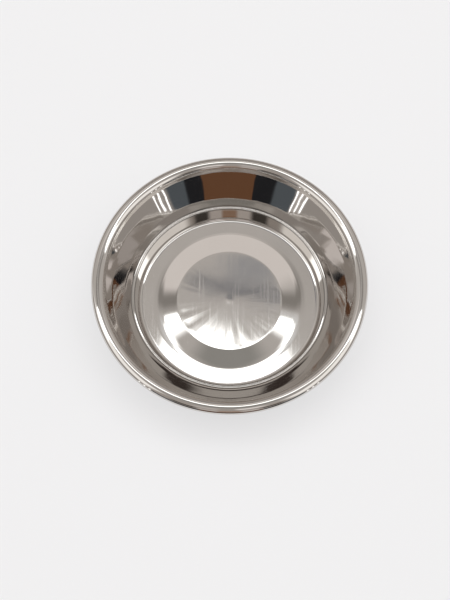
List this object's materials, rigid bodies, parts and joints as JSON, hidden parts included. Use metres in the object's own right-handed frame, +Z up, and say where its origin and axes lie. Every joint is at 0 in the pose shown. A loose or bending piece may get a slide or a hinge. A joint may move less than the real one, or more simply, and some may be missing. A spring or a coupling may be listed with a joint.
{
  "type": "metal pet bowl",
  "caption": "Shallow round pressed steel feeding bowl with flared mirror walls, a large rolled rim, a raised floor disc and a black rubber ring round its base.",
  "frame": {"origin": "centre of the rubber ring's sole, on the floor that the bowl stands on", "axes": "+Z up along the bowl's axis of revolution; X and Y lie in the floor, and the picture is taken from the -Y side"},
  "size_m": [0.2, 0.2, 0.044],
  "materials": {
    "polished_steel": "mirror polished stainless sheet with slight waves and fine wear scratches",
    "black_rubber": "matte moulded rubber"
  },
  "bodies": {
    "root": {"bowl_shell": "polished_steel", "rubber_ring": "black_rubber"}
  },
  "joints": []
}
